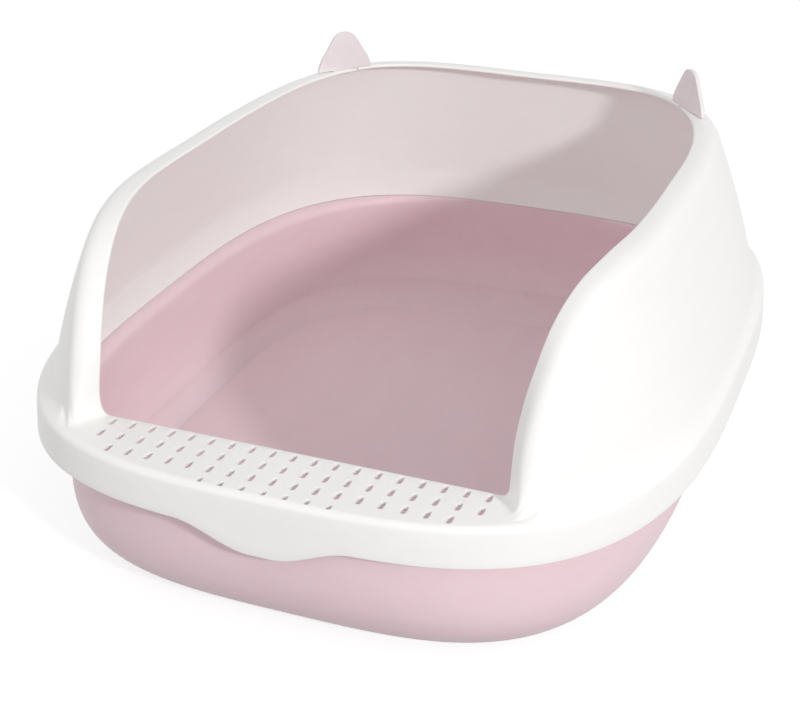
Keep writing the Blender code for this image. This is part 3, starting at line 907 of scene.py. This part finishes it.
def lip(centre, up, inward):
    """Full-round edge of the sheet, from its top over its end to its underside."""
    angles = np.linspace(0, math.pi, LIP_ROWS)
    return [centre + (up * math.cos(angle) + inward * math.sin(angle)) * SHEET / 2 for angle in angles]


def between_points(first, last, count):
    """Points between two ends, neither of which is repeated."""
    return [first + (last - first) * share for share in np.linspace(0, 1, count + 2)[1:-1]]


def step_middle(turn):
    """The flat sheet of the step: over it from the shoulder, round its straight inner edge and back under
    it. It has as many points as the raised sheet, so those to spare are packed next to the shoulder."""
    packed = FLARE_ROWS + HOOD_WALL_ROWS + ARC_ROWS - len(STEP_ANGLES)
    pitch = (SHOULDER_RADIUS + SHEET) / packed
    top = [shoulder_row(turn, angle) for angle in STEP_ANGLES]
    front = SKIRT_TOP.inset(SHOULDER_RADIUS)
    top += [front.inset(pitch * i).point(turn, STEP_Z) for i in range(1, packed + 1)]
    edge_x = SKIRT_TOP.point(turn, STEP_Z)[0] * STEP_CORNER_SHARE
    edge_y = -SKIRT_TOP.half_length + STEP_DEPTH - SHEET / 2
    edge = lip(np.array((edge_x, edge_y, STEP_Z - SHEET / 2)), UP, BACK)
    places = range(packed + len(STEP_ANGLES), 0, -1)
    under = [SKIRT_TOP.inset(SHEET + pitch * i).point(turn, STEP_Z - SHEET) for i in places]
    over_it = top + between_points(top[-1], edge[0], BAND_ROWS)
    return over_it + edge + between_points(edge[-1], under[0], BAND_ROWS) + under


print("points over and under the step:", len(step_middle(-QUARTER_TURN)))

# %% [markdown]
# ### Wall and band
#
# From the shoulder the sheet sweeps up in a concave flare, rises as a wall that leans in, and turns
# over into a flat band that stiffens the opening and hides its cut edge. A rib under the wall's
# foot drops inside the tub's lip and keeps the hood from sliding off. An offset of the outer face
# would give the inner one, but it folds over itself at tight bends, so the inner side is written
# down point by point as the outer one is.

# %% Flare
FLARE_HEIGHT = 13.0 * MM
FLARE_ANGLES = (math.radians(50), math.radians(56))
FLARE_REACHES = (0.38, 0.55)


def unit(vector):
    return vector / np.linalg.norm(vector)


def flare(turn, height, slide):
    """Concave curve from the rounded shoulder up into the wall."""
    top_z = STEP_Z + min(FLARE_HEIGHT, height / 3)
    before, first = (shoulder_row(turn, angle) for angle in FLARE_ANGLES)
    last, over = (wall_point(turn, z) + slide for z in (top_z, top_z + MM))
    reach = np.linalg.norm(last - first)
    near = first + unit(first - before) * reach * FLARE_REACHES[0]
    far = last - unit(over - last) * reach * FLARE_REACHES[1]
    return [cubic(first, near, far, last, t) for t in np.linspace(0, 1, FLARE_ROWS)], top_z


print("top of the flare in mm:", round(flare(0.0, WALL_HEIGHT, 0.0)[1] / MM, 1))

# %% Rolled edge
EDGE_DROP = 8.0 * MM
EDGE_REACH = 9.0 * MM


def wall_lean(turn, height, inward, under):
    """How far the wall's face tips over at its edge, seen in the section's plane."""
    upwards = edge_point(turn, height + MM) - edge_point(turn, height - MM)
    face = unit(np.cross(np.cross(UP, inward), upwards))
    return math.atan2(face @ under, face @ inward)


def rolled_edge(edge, inward, under, lean, size):
    """Outer side of the rounding from the wall into the band, and the direction through the sheet at each
    of its points."""
    rising = inward * math.sin(lean) - under * math.cos(lean)
    first, last = edge - rising * EDGE_DROP * size, edge + inward * EDGE_REACH * size
    points, through = [], []
    for t in np.linspace(0, 1, ARC_ROWS + 1):
        heading = unit((edge - first) * (1 - t) + (last - edge) * t)
        points.append(first * (1 - t) ** 2 + edge * 2 * t * (1 - t) + last * t * t)
        through.append(under * (heading @ inward) - inward * (heading @ under))
    return points, through


# %% Rib
RIB_OUTER = RIM_EDGE.inset(SHEET + 0.8 * MM)
SEAT_GAP = 0.3 * MM
COLUMN_FOOT_RISE = 15.0 * MM
RIB_FADE_RISE = 45.0 * MM


def rib(turn, height, inward, base_z):
    """The rib that centres the hood inside the tub's lip; it fades out towards the step."""
    top = WALL_BASE.point(turn, base_z)
    wall_foot = top + inward * SHEET
    foot_z = RIM_HEIGHT + SEAT_GAP
    feet = [outline.point(turn, foot_z) for outline in (RIB_OUTER.inset(SHEET), RIB_OUTER)]
    drop = smoothstep((height - COLUMN_FOOT_RISE) / RIB_FADE_RISE)
    rows = [wall_foot]
    for share, foot in zip((1 / 3, 2 / 3), feet):
        level = wall_foot + (top - wall_foot) * share
        rows.append(level + (foot - level) * drop)
    return rows + [top]


print("rib to the tub's lip, mm:", round((RIM_EDGE.half_width - SHEET - RIB_OUTER.half_width) / MM, 2))

# %% Wall and band
ROLL_FADE_RISE = 26.0 * MM
ROLL_AT_FOOT = 0.3
BAND_WIDTH = 14.5 * MM
BAND_FOOT_WIDTH = 16.0 * MM
INNER_WALL_ROWS = HOOD_WALL_ROWS + 5
SLIDE_FADE_RISE = 4 * SHEET


def wall_middle(turn, height, along):
    """The raised sheet: flare, wall, rolled edge and band, and back along its inner side to the rib."""
    edge = edge_point(turn, height)
    inward = wall_outline(edge[2]).inward(turn)
    under = unit(np.cross(inward, along))
    width = BAND_FOOT_WIDTH + (BAND_WIDTH - BAND_FOOT_WIDTH) * min(height / WALL_HEIGHT, 1.0)
    size = ROLL_AT_FOOT + (1 - ROLL_AT_FOOT) * smoothstep(height / ROLL_FADE_RISE)
    rolled, through = rolled_edge(edge, inward, under, wall_lean(turn, height, inward, under), size)
    top = rolled[0]
    slide = top - wall_point(turn, top[2])
    rows, flare_z = flare(turn, height, slide)
    for z in np.linspace(flare_z, top[2], HOOD_WALL_ROWS + 1)[1:]:
        rows.append(wall_point(turn, z) + slide)
    rows += rolled[1:]
    end = lip(edge + inward * (width - SHEET / 2) + under * SHEET / 2, -under, inward)
    rows += between_points(rows[-1], end[0], BAND_ROWS) + end
    inner = [point + way * SHEET for point, way in zip(rolled, through)]
    rows += between_points(rows[-1], inner[-1], BAND_ROWS) + inner[:0:-1]
    base_z = STEP_Z - SHEET
    slide = inner[0] - wall_point(turn, inner[0][2]) - inward * SHEET
    for z in np.linspace(inner[0][2], base_z, INNER_WALL_ROWS + 1)[:-1]:
        share = smoothstep((z - base_z) / SLIDE_FADE_RISE)
        rows.append(wall_point(turn, z) + inward * SHEET + slide * share)
    return rows + rib(turn, height, inward, base_z)


print("points over the wall, as many as at the step:", len(wall_middle(0.0, WALL_HEIGHT, BACK)))

# %% [markdown]
# ### Sections and loft
#
# Beside the step the column starts, and there the flat section has to become the raised one. Both
# have the same number of points, so the sections at the column's foot are a blend of the two. That
# leaves slight wrinkles, which a few rounds of averaging along the edge take out. The finished half
# is mirrored and joined into a closed ring, so the hood needs no seam in the middle.

# %% Sections
RELAXING_ROUNDS = 16
RELAXED_STATION = STEP_STATIONS + 10
RELAXED_REACH = 18


def section(turn, height, along):
    """The whole closed section of the hood's sheet: the step's, the wall's or, at the column's foot, a
    blend of both."""
    low = skirt_low_z(SKIRT.point(turn, SKIRT_Z))
    flat = step_middle(turn) if turn < 0 and height < COLUMN_FOOT_RISE else None
    raised = wall_middle(turn, height, along) if height > 0 else None
    if flat is None:
        middle = raised
    elif raised is None:
        middle = flat
    else:
        share = smoothstep(height / COLUMN_FOOT_RISE)
        middle = [a + (b - a) * share for a, b in zip(flat, raised, strict=True)]
    return skirt_outside(turn, low) + list(middle) + skirt_inside(turn, low)


def hood_sections():
    """The sections of the right half, from the middle of the step to the middle of the back."""
    edges = [edge_point(turn, height) for turn, height in path]
    sections = []
    for i, (turn, height) in enumerate(path):
        along = edges[min(i + 1, len(edges) - 1)] - edges[max(i - 1, 0)]
        if i == len(path) - 1:
            along = np.array((-1.0, 0.0, 0.0))
        sections.append(section(turn, height, unit(along)))
    return np.array(sections)


def relaxed(sections):
    """The same sections with the wrinkles at the column's foot smoothed out along the edge."""
    apart = (np.arange(1, len(sections) - 1) - RELAXED_STATION) / RELAXED_REACH
    share = np.exp(-(apart**2))[:, None, None]
    for _ in range(RELAXING_ROUNDS):
        sections[1:-1] += ((sections[:-2] + sections[2:]) / 2 - sections[1:-1]) * share
    return sections


right_half = relaxed(hood_sections())
print("hood stations and points in each section:", right_half.shape[:2])

# %% Hood loft
def ring_of_sections(half):
    """The right half, then the same mirrored from the back to the front, as one closed ring."""
    mirrored = half[-2:0:-1] * np.array((-1.0, 1.0, 1.0))
    return np.concatenate([half, mirrored])


def hood_shell():
    """All sections joined in order, without a cap, because the ring closes on itself."""
    ring = ring_of_sections(right_half)
    stations, rows = ring.shape[:2]
    faces = []
    for i in range(stations):
        near, far = i * rows, (i + 1) % stations * rows
        for k in range(rows):
            after = (k + 1) % rows
            faces.append((near + k, far + k, far + after, near + after))
    return new_object("hood_shell", ring.reshape(-1, 3), faces=faces)


hood = hood_shell()
print("points in the hood's shell:", len(hood.data.vertices))

# %% [markdown]
# ### Drain slots
#
# Litter that a cat carries out falls back through short slots in the step. They repeat in rows
# that follow the step's straight inner edge, and the front row stops where the bowed shoulder
# begins. Each could be modelled by hand, but a pattern belongs to Geometry Nodes: a grid of places,
# thinned by the outline of the shoulder, carries one cutter each, and a Boolean takes them all out
# of the sheet. A second one, with shallow cutters that flare at their top, gives each slot the
# small lead-in that keeps a moulded hole from feeling sharp.

# %% Slot tree
SLOT_LENGTH = 7.5 * MM
SLOT_TO_EDGE = 2.4 * MM
SLOT_TO_SKIRT = 3.1 * MM

slot_tree = GeometryTree(
    "drain slots",
    Columns=19,
    Rows=4,
    Pitch_across=12.0 * MM,
    Pitch_back=12.8 * MM,
    First_row=-SKIRT_TOP.half_length + STEP_DEPTH - SLOT_TO_EDGE - SLOT_LENGTH / 2,
    Slot_width=3.2 * MM,
    Slot_length=SLOT_LENGTH,
    Front_slot_length=4.5 * MM,
    Lead_in=0.12 * MM,
    Step_height=STEP_Z,
    Sheet=SHEET,
    Outline_half_width=SKIRT_TOP.half_width - SLOT_TO_SKIRT,
    Outline_half_length=SKIRT_TOP.half_length - SLOT_TO_SKIRT,
    Outline_power=SKIRT_TOP.power,
)
print("places for slots:", slot_tree.sizes["Columns"] * slot_tree.sizes["Rows"])

# %% Slot cutter
SLOT_SIDES = 20
STRAIGHT_SIDE = 0.02


def slot_prism(tree, radius, pull, low, high, flare_out):
    """An upright prism with round ends: a cylinder pulled apart along the slot. Its top may flare out."""
    made = tree.add(
        "GeometryNodeMeshCylinder",
        {"Vertices": SLOT_SIDES, "Side Segments": 1, "Radius": 1.0, "Depth": 2.0},
        {"fill_type": "NGON"},
    )
    place = tree.add("GeometryNodeInputPosition")
    parts = [tree.add("ShaderNodeSeparateXYZ", {0: place}, output=i) for i in range(3)]
    wide = radius + (parts[2] > 0) * flare_out
    side = parts[1].sign() * (abs(parts[1]) > STRAIGHT_SIDE)
    along, up = parts[1] * wide + side * pull, low + (parts[2] + 1) / 2 * (high - low)
    spot = tree.add("ShaderNodeCombineXYZ", {0: parts[0] * wide, 1: along, 2: up})
    return tree.add("GeometryNodeSetPosition", {"Geometry": made, "Position": spot})


# %% Drain slots
def rule_of_slots(tree):
    """One slot for each point of a grid, shorter in the last row, where the shoulder leaves room for it."""
    rows, columns = tree.given("Rows"), tree.given("Columns")
    across, back = tree.given("Pitch across"), tree.given("Pitch back")
    grid, index = numbered_grid(tree, columns, rows)
    line = index % rows
    column = (index - line) / rows
    front = line > rows - 1.5
    length = tree.given("Slot length") + (tree.given("Front slot length") - tree.given("Slot length")) * front
    x = (column - (columns - 1) / 2) * across
    y = tree.given("First row") - line * back + (tree.given("Slot length") - length) / 2
    spot = tree.add("ShaderNodeCombineXYZ", {0: x, 1: y})
    placed = tree.add("GeometryNodeSetPosition", {"Geometry": grid, "Position": spot})
    power = tree.given("Outline power")
    outside = (abs(x) / tree.given("Outline half width")) ** power
    outside = outside + (abs(y - length / 2) / tree.given("Outline half length")) ** power
    stretch = tree.add("ShaderNodeCombineXYZ", {0: 1.0, 1: length / tree.given("Slot length"), 2: 1.0})

    half = tree.given("Slot width") / 2
    pull = (tree.given("Slot length") - tree.given("Slot width")) / 2
    top, sheet, lead = tree.given("Step height"), tree.given("Sheet"), tree.given("Lead in")
    through = slot_prism(tree, half, pull, top - sheet * 2, top + sheet, 0.0)
    countersink = slot_prism(tree, half - lead, pull, top - lead * 2, top + lead, lead * 4)
    hood_mesh = tree.given("Geometry")
    for cutter in (through, countersink):
        row_of_them = {"Points": placed, "Selection": outside < 1, "Instance": cutter, "Scale": stretch}
        cutters = tree.add("GeometryNodeInstanceOnPoints", row_of_them)
        real = tree.add("GeometryNodeRealizeInstances", {"Geometry": cutters})
        hood_mesh = tree.add(
            "GeometryNodeMeshBoolean",
            {"Mesh 1": hood_mesh, "Mesh 2": real},
            {"operation": "DIFFERENCE", "solver": "EXACT"},
        )
    tree.end(hood_mesh)


rule_of_slots(slot_tree)
slot_tree.put_on(hood, white_plastic)
print("nodes in the slots' tree:", len(slot_tree.tree.nodes))

# %% [markdown]
# ## Ears
#
# Two flat ears are separate mouldings. Each has a tongue under its foot that is pushed into a slot
# in the band. Their outline is a table of shares of the ear's half width and height, smoothed into
# a curve. A curve object with an extrusion would give hard rims, so the outline becomes one face,
# is thickened, and a Bevel modifier rounds its rims as a mould does.

# %% Ear outline
EAR_HALF_WIDTH = 21.0 * MM
EAR_HEIGHT = 26.8 * MM
EAR_INSET = 11.7 * MM
EAR_TURN = math.radians(40.0)
EAR_HEADING = math.radians(-51.0)
TONGUE_HALF_WIDTH = 10.0 * MM
TONGUE_LENGTH = 3.0 * MM
EAR_SHARES = (  # across and up the ear, from its foot to its tip
    (1.0, 0.0), (0.985, 0.10), (0.86, 0.32), (0.70, 0.50), (0.50, 0.75), (0.34, 0.91), (0.17, 0.985),
)
EAR_SAMPLES = 6


def ear_place(side):
    """Where an ear's foot stands on the band, and the heading of its plate."""
    z = STEP_Z + WALL_HEIGHT * EDGE_SHARES[-2][1]
    outline = wall_outline(z)
    foot = outline.point(EAR_TURN, z) + outline.inward(EAR_TURN) * EAR_INSET
    heading = EAR_HEADING if side > 0 else math.pi - EAR_HEADING
    return Matrix.Translation((side * foot[0], foot[1], z)) @ Matrix.Rotation(heading, 4, "Z")


def ear_outline():
    """From the tongue's end up over the tip, and down to the tongue's other end."""
    half = [(across * EAR_HALF_WIDTH, up * EAR_HEIGHT) for across, up in EAR_SHARES]
    curved = smooth_line([*half, (0.0, EAR_HEIGHT), *((-x, y) for x, y in reversed(half))], EAR_SAMPLES)
    tongue = [(TONGUE_HALF_WIDTH, -TONGUE_LENGTH), (TONGUE_HALF_WIDTH, 0.0)]
    return tongue + [tuple(point) for point in curved] + [(-x, y) for x, y in reversed(tongue)]


print("points round an ear:", len(ear_outline()))

# %% Ears
EAR_THICKNESS = 2.8 * MM
EAR_ROUNDING = 0.9 * MM
BEVEL_SEGMENTS = 4
BEVELLED_ANGLE = math.radians(50)


def make_ear(name, side):
    """A plate of the ear's outline, with rounded rims."""
    outline = ear_outline()
    place = Matrix.Translation((0, 0, SEAT_GAP)) @ ear_place(side)
    depths = (-EAR_THICKNESS / 2, EAR_THICKNESS / 2)
    points = [place @ Vector((x, depth, y)) for depth in depths for x, y in outline]
    count = len(outline)
    faces = [tuple(range(count)), tuple(range(2 * count - 1, count - 1, -1))]
    faces += [(i + count, (i + 1) % count + count, (i + 1) % count, i) for i in range(count)]
    solid = new_object(name + "_solid", points, faces=faces)
    bevel = solid.modifiers.new("rims", "BEVEL")
    bevel.width = EAR_ROUNDING
    bevel.segments = BEVEL_SEGMENTS
    bevel.limit_method = "ANGLE"
    bevel.angle_limit = BEVELLED_ANGLE
    solid.data.materials.append(ear_plastic)
    ear = made_plain(name, solid)
    mark_edges(ear)
    return ear


ears = [make_ear("right_ear", 1), make_ear("left_ear", -1)]

# %% Ear slots
TONGUE_GAP = 0.3 * MM


def cut_ear_slots(piece):
    """Takes the two tongues' slots out of the hood's band."""
    size = Vector((TONGUE_HALF_WIDTH + TONGUE_GAP, EAR_THICKNESS / 2 + TONGUE_GAP, SHEET * 2))
    corners = [Vector((x, y, z)) for x in (-1, 1) for y in (-1, 1) for z in (-1, 1)]
    sides = ((0, 1, 3, 2), (4, 6, 7, 5), (0, 4, 5, 1), (2, 3, 7, 6), (0, 2, 6, 4), (1, 5, 7, 3))
    points, faces = [], []
    for ear_side in (1, -1):
        faces += [tuple(i + len(points) for i in face) for face in sides]
        points += [ear_place(ear_side) @ (corner * size) for corner in corners]
    cutter = new_object("ear_slots", points, faces=faces)
    cut = piece.modifiers.new("ear slots", "BOOLEAN")
    cut.object = cutter
    return cutter


ear_cutter = cut_ear_slots(hood)
hood = made_plain("white_hood", hood)
bpy.data.objects.remove(ear_cutter)
mark_edges(hood)

# %% [markdown]
# ## Pieces and bodies
#
# The hood slides up off the tub, and the ears go with it. Each piece rides on the body it belongs
# to and stands for the solid it was built over, which is hidden.

# %% Ride on the bodies
for piece, body, node, finish_name in (
    (tub, "tub", "base_tub", "tub_plastic"),
    (hood, "hood", "hood", "hood_plastic"),
    (ears[0], "hood", "ear_right", "ear_plastic"),
    (ears[1], "hood", "ear_left", "ear_plastic"),
):
    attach(piece, body)
    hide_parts(node)
    print(f"{piece.name} rides on {body} and stands for {node}")

# %% [markdown]
# ## Studio
#
# The picture was taken on seamless white paper with a soft key light low on the right and plenty
# of fill. The key's direction comes from the edge of the shadow that the hood throws into the tub.
# The white sky of the world fills the shadows evenly, and a wide, weak lamp at the front left lifts
# the skirt and the front of the tub. More light would clip the white hood, so the paper looks white
# because its own material adds a little glow for the camera and for reflections only. It lights the
# tray no more than plain paper would, and still shows the tray's shadow.

# %% Paper
FLOOR_HALF = 12.0
FLOOR_DROP = 0.2 * MM
PLAIN_GREY, SHADED_GREY, PAPER_GLOW = 0.40, 0.36, 0.76
PURE_WHITE = (1.0, 1.0, 1.0, 1.0)


def seen_directly(nodes):
    """1 for camera rays, reflections and rays through clear pieces, 0 for light that bounces."""
    names = ("Is Camera Ray", "Is Glossy Ray", "Is Transmission Ray")
    camera_ray, glossy_ray, clear_ray = (nodes.add("ShaderNodeLightPath", output=name) for name in names)
    return camera_ray.maximum(glossy_ray).maximum(clear_ray)


def make_paper():
    """Paper that lights the tray as plain paper does, and is shown nearly white but for its shadows."""
    material = bpy.data.materials.new("white_paper")
    material.use_nodes = True
    material.node_tree.nodes.clear()
    nodes = Nodes(material.node_tree)
    plain, shaded = (
        nodes.add("ShaderNodeBsdfDiffuse", {"Color": (grey, grey, grey, 1.0)})
        for grey in (PLAIN_GREY, SHADED_GREY)
    )
    glow = nodes.add("ShaderNodeEmission", {"Color": PURE_WHITE, "Strength": PAPER_GLOW})
    lit = nodes.add("ShaderNodeAddShader", {0: shaded, 1: glow})
    surface = nodes.add("ShaderNodeMixShader", {0: seen_directly(nodes), 1: plain, 2: lit})
    nodes.add("ShaderNodeOutputMaterial", {"Surface": surface})
    return material


def make_floor():
    signs = ((-1, -1), (1, -1), (1, 1), (-1, 1))
    corners = [(x * FLOOR_HALF, y * FLOOR_HALF, -FLOOR_DROP) for x, y in signs]
    floor = new_object("floor", corners, faces=[(0, 1, 2, 3)])
    floor.data.materials.append(make_paper())


make_floor()
print("floor, metres across:", 2 * FLOOR_HALF)

# %% Lamps and world
LAMP_DISTANCE = 2.4
KEY = {"heading": 52.5, "rise": 25.5, "size": 0.20, "power": 23.2}
SIDE_FILL = {"heading": -28.0, "rise": 12.0, "size": 1.20, "power": 5.3}
FILL_LEVEL = 0.67


def make_lamp(name, heading, rise, size, power):
    """A round softbox that looks at the tray from a heading and rise in degrees."""
    data = bpy.data.lights.new(name, "AREA")
    data.shape = "DISK"
    data.size = size
    data.energy = power
    lamp = bpy.data.objects.new(name, data)
    back = direction(math.radians(heading), math.radians(rise))
    lamp.matrix_world = Matrix.Translation(back * LAMP_DISTANCE) @ turned_to(back)
    bpy.context.scene.collection.objects.link(lamp)


def make_world():
    """A white sky that lights the tray less than it looks."""
    world = bpy.data.worlds.new("studio")
    world.use_nodes = True
    world.node_tree.nodes.clear()
    nodes = Nodes(world.node_tree)
    seen = seen_directly(nodes)
    strength = FILL_LEVEL + seen * (1 - FILL_LEVEL)
    sky = nodes.add("ShaderNodeBackground", {"Color": PURE_WHITE, "Strength": strength})
    nodes.add("ShaderNodeOutputWorld", {"Surface": sky})
    bpy.context.scene.world = world


make_lamp("key", **KEY)
make_lamp("side_fill", **SIDE_FILL)
make_world()
bpy.context.scene.view_settings.view_transform = "Standard"
print("lamps:", [light.name for light in bpy.data.lights])
